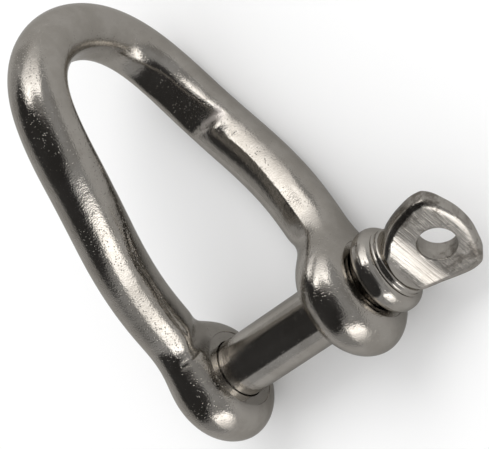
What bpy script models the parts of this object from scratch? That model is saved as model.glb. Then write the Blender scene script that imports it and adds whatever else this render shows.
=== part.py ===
"""Twisted shackle with a screw pin, at real size, in metres.

The bow is one forging: a round bar bent into a U whose crown is turned a quarter turn from the pin,
with an eye at each end. The pin is one turned and flattened piece: shank, collar, neck and tab.
Everything is modelled in the shackle's own frame, with X along the pin towards its tab and Y from
the pin to the crown. An empty then lays that frame down as the shackle comes to rest on a table.
"""
import math

import bmesh
import bpy
from mathutils import Matrix, Vector

MM = 0.001

# Pin: a bar of the nominal size, with its plain shank between the eyes.
PIN_DIAMETER = 8.0 * MM
PIN_CHAMFER = 0.7 * MM
PIN_END_INSET = 0.3 * MM
FIT_CLEARANCE = 0.3 * MM

# Eyes: the space between them, and their forged form.
JAW_WIDTH = 16.8 * MM
EYE_THICKNESS = 7.3 * MM
EYE_DIAMETER = 17.0 * MM
SPOT_FACE_DIAMETER = 10.8 * MM
SPOT_FACE_DEPTH = 0.3 * MM
# The eye's forged section before smoothing: shares of its half thickness and of its radius.
EYE_SECTION = ((1.05, 0.12), (1.05, 0.59), (0.735, 0.886), (0.0, 1.057))

# Bow: the inside length runs from the pin to the crown.
INSIDE_LENGTH = 40.3 * MM
BAR_DIAMETER = 7.74 * MM
CROWN_BAR_DIAMETER = 7.6 * MM
CROWN_SPREAD = 26.5 * MM
CROWN_RISE = 12.2 * MM
CROWN_TWIST = 86.5
# Each leg between its eye and the crown: share of the way, distance from the shackle's axis, and the
# angle in degrees that the leg has turned about that axis.
LEG_STATIONS = (
    (0.245, 11.88 * MM, 20.2),
    (0.30, 11.83 * MM, 25.3),
    (0.42, 11.80 * MM, 35.6),
    (0.57, 11.87 * MM, 51.7),
    (0.72, 12.09 * MM, 65.3),
    (0.87, 12.59 * MM, 75.9),
    (1.00, 12.95 * MM, 82.5),
)
CROWN_STEPS = 3

# Collar and neck of the pin.
COLLAR_GAP = 0.6 * MM
COLLAR_THICKNESS = 3.4 * MM
COLLAR_DIAMETER = 11.4 * MM
COLLAR_ROUNDING = 1.2 * MM
NECK_DIAMETER = 9.0 * MM
NECK_STEP = 0.25 * MM
NECK_HEIGHT = 0.85 * MM

# Tab: a flat fan, ground thinner towards its end, turned about the pin as it stopped when screwed in.
# Its end was finished a little out of square, by the slant at each corner.
TAB_LENGTH = 11.1 * MM
TAB_WIDTH = 12.4 * MM
TAB_ROOT_WIDTH = 5.2 * MM
TAB_ROOT_DEPTH = 0.85 * MM
# The tab's root on the neck: its round, how fast that widens along the pin, and the length of the
# hollow in which each flat runs out to it.
TAB_ROOT_DIAMETER = 8.0 * MM
TAB_ROOT_FLARE = 0.85
TAB_HOLLOW_LENGTH = 3.8 * MM
# How the fan opens out from its root: shares of the tab's length and of its width.
TAB_FAN = ((0.06, 0.55), (0.24, 0.78), (0.48, 0.95))
# Where the bowed end starts to fall back: shares of the corner's setback and of the width.
TAB_END_BOW = (0.28, 0.55)
TAB_CORNER_SETBACK = 2.2 * MM
TAB_CORNER_ROUNDING = 0.35 * MM
TAB_SLANT = 0.6 * MM
TAB_ROOT_THICKNESS = 3.8 * MM
TAB_END_THICKNESS = 2.5 * MM
TAB_EDGE_ROUNDING = 0.7 * MM
TAB_HOLE_DIAMETER = 5.0 * MM
TAB_END_WALL = 1.9 * MM
TAB_TURN = 28.6

# Fineness of the faceted surfaces.
BAR_SIDES = 8
EYE_SEGMENTS = 12
SMOOTHING_LEVELS = 2
ROUND_STEPS = 40
ARC_STEPS = 5
HOLLOW_STEPS = 6
SHARP_ANGLE = 40.0
WELD_DISTANCE = 0.01 * MM

PIN_RADIUS = PIN_DIAMETER / 2
BORE_RADIUS = PIN_RADIUS + FIT_CLEARANCE
EYE_CENTRE = (JAW_WIDTH + EYE_THICKNESS) / 2
EYE_INNER_FACE = JAW_WIDTH / 2
EYE_OUTER_FACE = EYE_INNER_FACE + EYE_THICKNESS
CROWN_APEX = PIN_RADIUS + INSIDE_LENGTH + CROWN_BAR_DIAMETER / 2
CROWN_CENTRE = CROWN_APEX - CROWN_RISE
COLLAR_SEAT = EYE_OUTER_FACE + COLLAR_GAP
COLLAR_FACE = COLLAR_SEAT + COLLAR_THICKNESS
NECK_FACE = COLLAR_FACE + NECK_HEIGHT

ALONG_PIN = Vector((1, 0, 0))
TO_CROWN = Vector((0, 1, 0))


def remove_start_objects():
    """Empty the scene."""
    for thing in list(bpy.data.objects):
        bpy.data.objects.remove(thing, do_unlink=True)


def new_collection(name):
    """Add a collection to the scene."""
    collection = bpy.data.collections.new(name)
    bpy.context.scene.collection.children.link(collection)
    return collection


def new_object(name, data, collection, frame):
    """Put data in a collection as an object carried by the shackle's frame."""
    thing = bpy.data.objects.new(name, data)
    collection.objects.link(thing)
    thing.parent = frame
    return thing


def steel(name, colour, roughness):
    """Polished stainless steel."""
    material = bpy.data.materials.new(name)
    material.use_nodes = True
    shader = material.node_tree.nodes["Principled BSDF"]
    shader.inputs["Base Color"].default_value = (*colour, 1.0)
    shader.inputs["Metallic"].default_value = 1.0
    shader.inputs["Roughness"].default_value = roughness
    return material


def smooth_mesh(bm, name, sharp_angle):
    """Turn a bmesh into a mesh with smooth shading and sharp edges past an angle."""
    mesh = bpy.data.meshes.new(name)
    bm.to_mesh(mesh)
    bm.free()
    mesh.shade_smooth()
    mesh.set_sharp_from_angle(angle=math.radians(sharp_angle))
    return mesh


def as_cutter(thing):
    """Show an object as an outline that is left out of the model."""
    thing.hide_render = True
    thing.display_type = 'WIRE'


def boolean(target, operation, tool):
    """Join a tool to a target or cut it away."""
    modifier = target.modifiers.new(f"{operation.lower()} {tool.name}", 'BOOLEAN')
    modifier.operation = operation
    modifier.object = tool
    as_cutter(tool)


def leg_point(share, spread, twist):
    """A point of the leg that starts at the tab side's eye."""
    angle = math.radians(twist)
    return Vector((spread * math.cos(angle), share * CROWN_CENTRE, -spread * math.sin(angle)))


def bar_route():
    """Centres and radii of the bar, from the tab side's eye to the crown's apex."""
    route = [(leg_point(*place), BAR_DIAMETER / 2) for place in LEG_STATIONS]
    turn = math.radians(CROWN_TWIST)
    for step in range(1, CROWN_STEPS + 1):
        angle = math.pi / 2 * step / CROWN_STEPS
        reach = CROWN_SPREAD / 2 * math.cos(angle)
        rise = CROWN_CENTRE + CROWN_RISE * math.sin(angle)
        centre = Vector((reach * math.cos(turn), rise, -reach * math.sin(turn)))
        route.append((centre, CROWN_BAR_DIAMETER / 2))
    return route


def half_turned(point):
    """The matching point of the other leg: the bow repeats after half a turn about its axis."""
    return Vector((-point.x, point.y, -point.z))


def cage_centres(centres, eye_point):
    """Ring centres whose smoothed tube runs through the given centres."""
    chain = [eye_point] + centres + [half_turned(centres[-2])]
    moved = []
    for before, here, after in zip(chain, chain[1:], chain[2:]):
        moved.append(here - (before - 2 * here + after) / 6)
    return moved


def carried_frames(centres, first_side):
    """Side directions of the rings, carried along the bar without twisting about it.

    The small angle that is left at the apex is shared out evenly, so that the two halves meet.
    """
    chain = centres + [half_turned(centres[-2])]
    tangents = [(after - here).normalized() for here, after in zip(chain, chain[1:])]
    tangents = [tangents[0]] + [(a + b).normalized() for a, b in zip(tangents, tangents[1:])]
    side = first_side
    frames = []
    for index, tangent in enumerate(tangents):
        if index:
            side = tangents[index - 1].rotation_difference(tangent) @ side
        side = (side - side.dot(tangent) * tangent).normalized()
        frames.append((tangent, side.copy()))
    tangent, side = frames[-1]
    step = math.pi / 4
    error = math.atan2(tangent.dot(side.cross(TO_CROWN)), side.dot(TO_CROWN)) % step
    error = error if error < step / 2 else error - step
    settled = []
    for index, (tangent, side) in enumerate(frames):
        turn = Matrix.Rotation(error * index / (len(frames) - 1), 3, tangent)
        settled.append((tangent, turn @ side))
    return settled


def smooth_circle_factor(sides):
    """How far a smoothed polygon shrinks inside its corners."""
    return (2 + math.cos(math.tau / sides)) / 3


def add_ring(bm, centre, tangent, side, radius):
    """Add one ring of the bar's cage and return its edges."""
    matrix = Matrix((side, tangent.cross(side), tangent)).transposed().to_4x4()
    matrix.translation = centre
    made = bmesh.ops.create_circle(bm, segments=BAR_SIDES, radius=radius, matrix=matrix)
    return list({edge for vert in made["verts"] for edge in vert.link_edges})


def add_eye_cage(bm, leg_direction):
    """Add the ring-shaped cage of the tab side's eye and return the edges where its leg joins."""
    shrink = smooth_circle_factor(EYE_SEGMENTS)
    half = EYE_THICKNESS / 2 + SPOT_FACE_DEPTH
    rim = EYE_DIAMETER / 2 / shrink
    section = [(-x, r) for x, r in EYE_SECTION] + [(x, r) for x, r in EYE_SECTION[-2::-1]]
    centre = Vector((EYE_CENTRE, 0, 0))
    verts = [bm.verts.new(centre + ALONG_PIN * x * half + leg_direction * r * rim) for x, r in section]
    edges = [bm.edges.new((a, b)) for a, b in zip(verts, verts[1:] + verts[:1])]
    bmesh.ops.spin(bm, geom=verts + edges, cent=centre, axis=ALONG_PIN, angle=math.tau,
                   steps=EYE_SEGMENTS, use_merge=True, use_duplicate=False)
    top = max(bm.verts, key=lambda vert: (vert.co - centre).dot(leg_direction))
    bmesh.ops.delete(bm, geom=[top], context='VERTS')
    return [edge for edge in bm.edges if edge.is_boundary]


def bow_cage():
    """The coarse cage of the whole bow: one eye and leg, repeated by half a turn."""
    bm = bmesh.new()
    route = bar_route()
    centres = [centre for centre, radius in route]
    leg_direction = Vector((0, centres[0].y, centres[0].z)).normalized()
    eye_point = Vector((EYE_CENTRE, 0, 0)) + leg_direction * EYE_DIAMETER / 4
    open_edges = add_eye_cage(bm, leg_direction)
    grow = 1 / smooth_circle_factor(BAR_SIDES)
    rings = cage_centres(centres, eye_point)
    for centre, (tangent, side), (_, radius) in zip(rings, carried_frames(rings, ALONG_PIN), route):
        edges = add_ring(bm, centre, tangent, side, radius * grow)
        bmesh.ops.bridge_loops(bm, edges=open_edges + edges)
        open_edges = edges
    other = bmesh.ops.duplicate(bm, geom=bm.verts[:] + bm.edges[:] + bm.faces[:])
    verts = [item for item in other["geom"] if isinstance(item, bmesh.types.BMVert)]
    bmesh.ops.rotate(bm, verts=verts, cent=(0, 0, 0), matrix=Matrix.Rotation(math.pi, 3, TO_CROWN))
    bmesh.ops.remove_doubles(bm, verts=bm.verts[:], dist=WELD_DISTANCE)
    bmesh.ops.recalc_face_normals(bm, faces=bm.faces[:])
    return bm


def round_tool(name, start, end, collection, frame):
    """A tool on the pin's axis between two ends, each given as (place along the pin, radius)."""
    bm = bmesh.new()
    matrix = Matrix.Translation(((start[0] + end[0]) / 2, 0, 0)) @ Matrix.Rotation(math.pi / 2, 4, 'Y')
    bmesh.ops.create_cone(bm, cap_ends=True, segments=ROUND_STEPS, radius1=start[1], radius2=end[1],
                          depth=end[0] - start[0], matrix=matrix)
    return new_object(name, smooth_mesh(bm, name, SHARP_ANGLE), collection, frame)


def make_bow(material, parts, cutters, frame):
    """The forged bow, its spot faces and its bores."""
    bow = new_object("bow", smooth_mesh(bow_cage(), "bow", 180), parts, frame)
    bow.data.materials.append(material)
    smooth = bow.modifiers.new("forged surface", 'SUBSURF')
    smooth.levels = SMOOTHING_LEVELS
    smooth.render_levels = SMOOTHING_LEVELS
    spot = SPOT_FACE_DIAMETER / 2
    beyond = EYE_OUTER_FACE + EYE_THICKNESS
    cuts = (
        ("spot faces inside the jaw", spot, -EYE_INNER_FACE, EYE_INNER_FACE),
        ("spot face under the collar", spot, EYE_OUTER_FACE, beyond),
        ("spot face at the pin's end", spot, -beyond, -EYE_OUTER_FACE),
        ("bores of the eyes", BORE_RADIUS, -beyond, beyond),
    )
    for name, radius, start, end in cuts:
        boolean(bow, 'DIFFERENCE', round_tool(name, (start, radius), (end, radius), cutters, frame))
    return bow


def arc(centre_x, centre_r, radius, start, end):
    """Points of an arc in the pin's section: angles in degrees from the pin's axis."""
    points = []
    for step in range(ARC_STEPS + 1):
        angle = math.radians(start + (end - start) * step / ARC_STEPS)
        points.append((centre_x + radius * math.cos(angle), centre_r + radius * math.sin(angle)))
    return points


def pin_profile():
    """Half section of the turned pin as (distance along it, radius), from the neck to the end."""
    neck = NECK_DIAMETER / 2
    collar = COLLAR_DIAMETER / 2
    end = -EYE_OUTER_FACE + PIN_END_INSET
    profile = [(NECK_FACE, 0), (NECK_FACE, neck - NECK_STEP), (NECK_FACE - NECK_STEP, neck),
               (COLLAR_FACE + NECK_STEP, neck), (COLLAR_FACE, neck + NECK_STEP)]
    profile += arc(COLLAR_FACE - COLLAR_ROUNDING, collar - COLLAR_ROUNDING, COLLAR_ROUNDING, 0, 90)
    profile += arc(COLLAR_SEAT + COLLAR_ROUNDING, collar - COLLAR_ROUNDING, COLLAR_ROUNDING, 90, 180)
    profile += [(COLLAR_SEAT, PIN_RADIUS), (end + PIN_CHAMFER, PIN_RADIUS), (end, PIN_RADIUS - PIN_CHAMFER)]
    profile.append((end, 0))
    return profile


def tab_outline():
    """Corner and side points of the tab in its own plane, round its edge."""
    root = COLLAR_FACE - TAB_ROOT_DEPTH
    end = COLLAR_FACE + TAB_LENGTH
    corner = end - TAB_CORNER_SETBACK
    half = TAB_WIDTH / 2
    fall, spread = TAB_END_BOW
    side = (
        (root, TAB_ROOT_WIDTH / 2),
        *((COLLAR_FACE + along * TAB_LENGTH, across * half) for along, across in TAB_FAN),
        (corner - TAB_CORNER_ROUNDING, half), (corner + TAB_CORNER_ROUNDING, half - TAB_CORNER_ROUNDING),
        (end - fall * TAB_CORNER_SETBACK, spread * half),
    )
    outline = [*side, (end, 0)] + [(x, -y) for x, y in reversed(side)]
    return [(x + TAB_SLANT * y / half * (x - root) / (end - root), y) for x, y in outline]


def tab_curve(name):
    """The tab's outline as a filled curve with rounded edges."""
    curve = bpy.data.curves.new(name, 'CURVE')
    curve.dimensions = '2D'
    curve.fill_mode = 'BOTH'
    curve.resolution_u = 4
    curve.extrude = TAB_ROOT_THICKNESS / 2 - TAB_EDGE_ROUNDING
    curve.bevel_depth = TAB_EDGE_ROUNDING
    curve.bevel_resolution = 2
    curve.offset = -TAB_EDGE_ROUNDING
    points = tab_outline()
    spline = curve.splines.new('BEZIER')
    spline.use_cyclic_u = True
    spline.bezier_points.add(len(points) - 1)
    for knot, (x, y) in zip(spline.bezier_points, points):
        knot.co = (x, y, 0)
        knot.handle_left_type = knot.handle_right_type = 'AUTO'
    return curve


def tab_half_thickness(place):
    """Half the tab's thickness at a place along the pin: a hollow at the root, then a thinning flat."""
    way = min(max((place - COLLAR_FACE) / TAB_LENGTH, 0), 1)
    flat = (TAB_ROOT_THICKNESS + (TAB_END_THICKNESS - TAB_ROOT_THICKNESS) * way) / 2
    rise = (TAB_ROOT_DIAMETER - TAB_ROOT_THICKNESS) / 2
    hollow = (TAB_HOLLOW_LENGTH ** 2 + rise ** 2) / (2 * rise)
    left = min(max(NECK_FACE + TAB_HOLLOW_LENGTH - place, 0), TAB_HOLLOW_LENGTH)
    return flat + hollow - math.sqrt(hollow ** 2 - left ** 2)


def make_tab(collection, frame):
    """The tab as a solid: its outline thickened, its flats ground, and its root kept to a round."""
    name = "tab"
    outline = new_object("tab outline", tab_curve(name), collection, frame)
    bpy.context.view_layer.update()
    evaluated = outline.evaluated_get(bpy.context.evaluated_depsgraph_get())
    mesh = bpy.data.meshes.new_from_object(evaluated)
    bpy.data.objects.remove(outline, do_unlink=True)
    bm = bmesh.new()
    bm.from_mesh(mesh)
    bmesh.ops.remove_doubles(bm, verts=bm.verts[:], dist=WELD_DISTANCE)
    for step in range(HOLLOW_STEPS + 1):
        slice_at = (NECK_FACE + TAB_HOLLOW_LENGTH * step / HOLLOW_STEPS, 0, 0)
        bmesh.ops.bisect_plane(bm, geom=bm.verts[:] + bm.edges[:] + bm.faces[:], plane_co=slice_at,
                               plane_no=ALONG_PIN)
    for vert in bm.verts:
        vert.co.z *= 2 * tab_half_thickness(vert.co.x) / TAB_ROOT_THICKNESS
    bmesh.ops.recalc_face_normals(bm, faces=bm.faces[:])
    tab = new_object(name, smooth_mesh(bm, name, SHARP_ANGLE), collection, frame)
    tab.rotation_euler.x = math.radians(TAB_TURN)
    inner = COLLAR_FACE - COLLAR_THICKNESS / 2
    outer = COLLAR_FACE + TAB_LENGTH + TAB_SLANT
    ends = [(place, TAB_ROOT_DIAMETER / 2 + TAB_ROOT_FLARE * (place - NECK_FACE)) for place in (inner, outer)]
    boolean(tab, 'INTERSECT', round_tool("round of the tab's root", *ends, collection, frame))
    return tab


def make_tab_hole(collection, frame):
    """The cutter of the round hole through the tab."""
    bm = bmesh.new()
    bmesh.ops.create_cone(bm, cap_ends=True, segments=ROUND_STEPS, radius1=TAB_HOLE_DIAMETER / 2,
                          radius2=TAB_HOLE_DIAMETER / 2, depth=2 * TAB_ROOT_THICKNESS)
    hole = new_object("hole of the tab", smooth_mesh(bm, "hole of the tab", SHARP_ANGLE), collection, frame)
    turn = Matrix.Rotation(math.radians(TAB_TURN), 4, 'X')
    centre = COLLAR_FACE + TAB_LENGTH - TAB_END_WALL - TAB_HOLE_DIAMETER / 2
    hole.matrix_basis = turn @ Matrix.Translation((centre, 0, 0))
    return hole


def make_pin(material, parts, cutters, frame):
    """The screw pin: a turned piece with its flattened tab."""
    bm = bmesh.new()
    verts = [bm.verts.new((radius, 0, along)) for along, radius in pin_profile()]
    for a, b in zip(verts, verts[1:]):
        bm.edges.new((a, b))
    pin = new_object("screw_pin", smooth_mesh(bm, "screw_pin", SHARP_ANGLE), parts, frame)
    pin.rotation_euler.y = math.pi / 2
    pin.data.materials.append(material)
    turn = pin.modifiers.new("turned", 'SCREW')
    turn.axis = 'Z'
    turn.steps = ROUND_STEPS
    turn.render_steps = ROUND_STEPS
    turn.use_merge_vertices = True
    turn.merge_threshold = WELD_DISTANCE
    turn.use_smooth_shade = True
    boolean(pin, 'UNION', make_tab(cutters, frame))
    boolean(pin, 'DIFFERENCE', make_tab_hole(cutters, frame))
    return pin


def resting_pitch():
    """How far the frame tips about the pin until both eyes and the bow touch one flat surface."""
    eye = EYE_DIAMETER / 2
    angles = []
    for centre, radius in bar_route():
        distance = math.hypot(centre.y, centre.z)
        angles.append(math.atan2(-centre.z, centre.y) - math.asin((eye - radius) / distance))
    return max(angles)


def lay_down(frame, things):
    """Lay the shackle on its side and put the origin under the middle of its box."""
    frame.rotation_euler.x = resting_pitch()
    bpy.context.view_layer.update()
    depsgraph = bpy.context.evaluated_depsgraph_get()
    points = []
    for thing in things:
        evaluated = thing.evaluated_get(depsgraph)
        points += [evaluated.matrix_world @ vert.co for vert in evaluated.to_mesh().vertices]
        evaluated.to_mesh_clear()
    low = Vector([min(point[axis] for point in points) for axis in range(3)])
    high = Vector([max(point[axis] for point in points) for axis in range(3)])
    frame.location = (-(low.x + high.x) / 2, -(low.y + high.y) / 2, -low.z)
    bpy.context.view_layer.update()


def main():
    """Build the shackle."""
    remove_start_objects()
    parts = new_collection("twisted_shackle")
    cutters = new_collection("cutters")
    frame = bpy.data.objects.new("shackle_frame", None)
    parts.objects.link(frame)
    bow = make_bow(steel("bow_steel", (0.60, 0.58, 0.55), 0.16), parts, cutters, frame)
    pin = make_pin(steel("pin_steel", (0.63, 0.61, 0.58), 0.20), parts, cutters, frame)
    lay_down(frame, (bow, pin))


main()
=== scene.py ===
"""The looks of the twisted shackle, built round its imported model.

The forged bow and the screw pin are made again here with finer surfaces, the screw thread and the
marks of forging, grinding and polishing. Lengths are in metres, unless a docstring says millimetres.
Both pieces are modelled in the shackle's own frame, X along the pin towards its tab and Y from the
pin to the crown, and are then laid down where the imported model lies.
"""
import logging
import math
from dataclasses import dataclass
from enum import Enum
from functools import partial

import bmesh
import bpy
import numpy as np
from mathutils import Matrix, Vector


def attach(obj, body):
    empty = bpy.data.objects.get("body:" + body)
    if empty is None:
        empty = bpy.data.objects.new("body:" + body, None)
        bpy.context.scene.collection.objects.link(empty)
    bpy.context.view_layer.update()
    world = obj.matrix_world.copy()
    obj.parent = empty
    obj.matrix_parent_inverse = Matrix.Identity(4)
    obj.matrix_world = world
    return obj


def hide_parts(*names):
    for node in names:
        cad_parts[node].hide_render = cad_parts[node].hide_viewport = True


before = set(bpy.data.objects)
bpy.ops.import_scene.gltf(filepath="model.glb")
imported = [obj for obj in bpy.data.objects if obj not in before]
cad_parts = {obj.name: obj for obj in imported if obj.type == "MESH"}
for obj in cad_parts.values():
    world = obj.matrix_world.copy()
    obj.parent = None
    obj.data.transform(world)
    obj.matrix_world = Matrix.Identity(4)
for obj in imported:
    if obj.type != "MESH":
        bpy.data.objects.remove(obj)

MM = 0.001
# What a divisor is kept above.
TINY = 1e-9
# The angle between faces past which an edge shows as sharp.
WORKED_EDGE = math.radians(32)
# Steps round the tools that cut holes.
TOOL_STEPS = 96
# Points of a turned mesh that are closer than this become one.
LATHE_WELD = 0.001 * MM
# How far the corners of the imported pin's end face may lie from its plane.
END_FACE_SLACK = 0.002 * MM
# The attribute and the finish's input that carry the matte scar.
SCAR_NAME = "scar"
# The node that a studio material's surface comes from.
STUDIO_SHADER = "studio shader"
LOG = logging.getLogger("twisted shackle")

Mesh = bpy.types.Mesh
BMesh = bmesh.types.BMesh
Material = bpy.types.Material
NodeTree = bpy.types.NodeTree
Socket = bpy.types.NodeSocket
Pair = tuple[float, float]
Triple = tuple[float, float, float]
Value = Socket | float | tuple[float, ...]


class Body(Enum):
    """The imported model's bodies."""

    BOW = "bow"
    PIN = "pin"


class Cut(Enum):
    """What a boolean step does with its tool."""

    TAKE_AWAY = "DIFFERENCE"
    ADD = "UNION"
    KEEP_INSIDE = "INTERSECT"


class Coat(Enum):
    """The record's material slots."""

    BOW = "bow_steel"
    PIN = "pin_steel"


class Row(Enum):
    """What a mesh gives for each of its points."""

    PLACE = "co"
    NORMAL = "normal"


def new_object(name: str, data: bpy.types.ID | None) -> bpy.types.Object:
    """Link an object to the scene.

    Args:
        name: The object's name.
        data: Its mesh, curve, lamp or camera.

    Returns:
        The new object, at the origin.
    """
    thing = bpy.data.objects.new(name, data)
    bpy.context.scene.collection.objects.link(thing)
    return thing


def mesh_of(bm: BMesh, name: str) -> Mesh:
    """Turn a bmesh into a mesh and free it.

    Args:
        bm: The bmesh.
        name: The mesh's name.

    Returns:
        The mesh, shaded smooth.
    """
    mesh = bpy.data.meshes.new(name)
    bm.to_mesh(mesh)
    bm.free()
    mesh.shade_smooth()
    return mesh


def settle(thing: bpy.types.Object) -> Mesh:
    """Bake an object's modifiers into a new mesh and delete the object.

    Args:
        thing: The object, at the origin.

    Returns:
        The finished mesh.
    """
    bpy.context.view_layer.update()
    evaluated = thing.evaluated_get(bpy.context.evaluated_depsgraph_get())
    mesh = bpy.data.meshes.new_from_object(evaluated)
    bpy.data.objects.remove(thing, do_unlink=True)
    return mesh


def combine(mesh: Mesh, name: str, steps: list[tuple[Cut, Mesh]]) -> Mesh:
    """Add tools to a mesh or take them away, one after the other.

    Args:
        mesh: The mesh to start from.
        name: The finished mesh's name.
        steps: The operations and their tools.

    Returns:
        The finished mesh.
    """
    work = new_object(name, mesh)
    tools = []
    for number, (cut, tool_mesh) in enumerate(steps):
        tool = new_object(f"{name}_tool_{number}", tool_mesh)
        modifier = work.modifiers.new(f"step {number}", "BOOLEAN")
        modifier.operation = cut.value
        modifier.object = tool
        modifier.material_mode = "TRANSFER"
        tools.append(tool)
    done = settle(work)
    for tool in tools:
        bpy.data.objects.remove(tool, do_unlink=True)
    done.name = name
    return done


def lathe(profile: list[Pair], name: str, steps: int, longest: float = 0.0) -> Mesh:
    """Spin a profile about the X axis.

    Args:
        profile: Points as (place along X, radius), starting and ending on the axis.
        name: The mesh's name.
        steps: Steps round the axis.
        longest: The longest edge kept along the profile, or 0 to keep the profile's own edges.

    Returns:
        The closed mesh.
    """
    bm = bmesh.new()
    fine = []
    for (x0, r0), (x1, r1) in zip(profile, profile[1:]):
        parts = max(1, math.ceil(math.hypot(x1 - x0, r1 - r0) / longest)) if longest else 1
        fine += [(x0 + (x1 - x0) * k / parts, r0 + (r1 - r0) * k / parts) for k in range(parts)]
    fine.append(profile[-1])
    verts = [bm.verts.new((x, radius, 0.0)) for x, radius in fine]
    edges = [bm.edges.new(pair) for pair in zip(verts, verts[1:])]
    bmesh.ops.spin(bm, geom=verts + edges, cent=(0, 0, 0), axis=(1, 0, 0), angle=math.tau, steps=steps,
                   use_merge=True, use_duplicate=False)
    bmesh.ops.remove_doubles(bm, verts=bm.verts[:], dist=LATHE_WELD)
    bmesh.ops.recalc_face_normals(bm, faces=bm.faces[:])
    return mesh_of(bm, name)


def arc(x: float, radius: float, bend: float, start: float, end: float, steps: int = 8) -> list[Pair]:
    """Points of a rounding in a turned profile.

    Args:
        x: The bend's centre along the axis.
        radius: The bend's centre away from the axis.
        bend: The bend's radius.
        start: First angle in degrees.
        end: Last angle in degrees.
        steps: Steps along the bend.

    Returns:
        The points, as (place along X, radius).
    """
    angles = [math.radians(start + (end - start) * k / steps) for k in range(steps + 1)]
    return [(x + bend * math.cos(a), radius + bend * math.sin(a)) for a in angles]


def rows_of(mesh: Mesh, row: Row) -> np.ndarray:
    """Read one row of x, y and z for each point of a mesh.

    Args:
        mesh: The mesh.
        row: What to read.

    Returns:
        The rows.
    """
    flat = np.zeros(len(mesh.vertices) * 3)
    mesh.vertices.foreach_get(row.value, flat)
    return flat.reshape(-1, 3)


def put_points(mesh: Mesh, points: np.ndarray) -> None:
    """Move a mesh's points to the rows of an array."""
    mesh.vertices.foreach_set("co", points.ravel())
    mesh.update()


def shade(mesh: Mesh) -> None:
    """Shade a finished mesh smooth, with its worked edges sharp."""
    mesh.shade_smooth()
    mesh.set_sharp_from_angle(angle=WORKED_EDGE)


def eased(share: np.ndarray) -> np.ndarray:
    """Keep shares between 0 and 1 and let them start and end level."""
    kept = np.clip(share, 0, 1)
    return kept * kept * (3 - 2 * kept)


@dataclass(frozen=True)
class Thread:
    """A screw thread cut on or in a round wall along X.

    The flank is the groove's steepness, the crest is what stays of the ridge, and points within the
    slack of the wall's radius belong to the wall.
    """

    start: float
    end: float
    pitch: float = 1.25 * MM
    depth: float = 0.55 * MM
    run_out: float = 0.9 * MM
    flank: float = 1.35
    crest: float = 0.12
    slack: float = 0.02 * MM

    def wave(self, points: np.ndarray, radius: float) -> np.ndarray:
        """How far into the thread's groove each point is, from 0 at the crest to 1 at the root.

        Args:
            points: Rows of x, y and z.
            radius: The wall's radius. Points that don't lie on the wall get 0.

        Returns:
            One share for each point.
        """
        turn = np.arctan2(points[:, 2], points[:, 1]) / math.tau
        phase = np.mod(points[:, 0] / self.pitch - turn, 1.0)
        ridge = np.abs(phase - 0.5) * 2
        groove = np.clip((1 - ridge) * self.flank - self.crest, 0, 1)
        inside = np.clip((points[:, 0] - self.start) / self.run_out, 0, 1)
        inside *= np.clip((self.end - points[:, 0]) / self.run_out, 0, 1)
        away = np.hypot(points[:, 1], points[:, 2])
        return groove * inside * (np.abs(away - radius) < self.slack)

    def cut(self, mesh: Mesh, radius: float, outwards: bool) -> None:
        """Press the thread into the wall at a radius.

        Args:
            mesh: The turned mesh, with close rings where the thread is.
            radius: The wall's radius.
            outwards: True in a hole, where the groove goes away from the axis.
        """
        points = rows_of(mesh, Row.PLACE)
        share = self.wave(points, radius)
        away = np.hypot(points[:, 1], points[:, 2])
        change = share * self.depth * (1 if outwards else -1)
        factor = np.where(away > 0, (away + change) / np.maximum(away, TINY), 1.0)
        points[:, 1:] *= factor[:, None]
        put_points(mesh, points)


@dataclass(frozen=True)
class Mark:
    """A line on the surface where it was pressed in or raised: its route is in millimetres."""

    route: tuple[Triple, ...]
    width: float
    height: float
    fade: float = 2.0 * MM

    def press(self, points: np.ndarray) -> np.ndarray:
        """Work out how far the mark moves each point along its normal.

        Args:
            points: Rows of x, y and z.

        Returns:
            One distance for each point.
        """
        route = np.array(self.route) * MM
        lengths = np.linalg.norm(np.diff(route, axis=0), axis=1)
        total = lengths.sum()
        nearest = np.full(len(points), math.inf)
        along = np.zeros(len(points))
        passed = 0.0
        for start, end, length in zip(route, route[1:], lengths):
            way = (end - start) / length
            share = np.clip((points - start) @ way, 0, length)
            apart = np.linalg.norm(points - start - share[:, None] * way, axis=1)
            closer = apart < nearest
            nearest = np.where(closer, apart, nearest)
            along = np.where(closer, passed + share, along)
            passed += length
        ends = eased(np.minimum(along, total - along) / self.fade)
        return self.height * np.exp(-(nearest / self.width) ** 2) * ends


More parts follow.
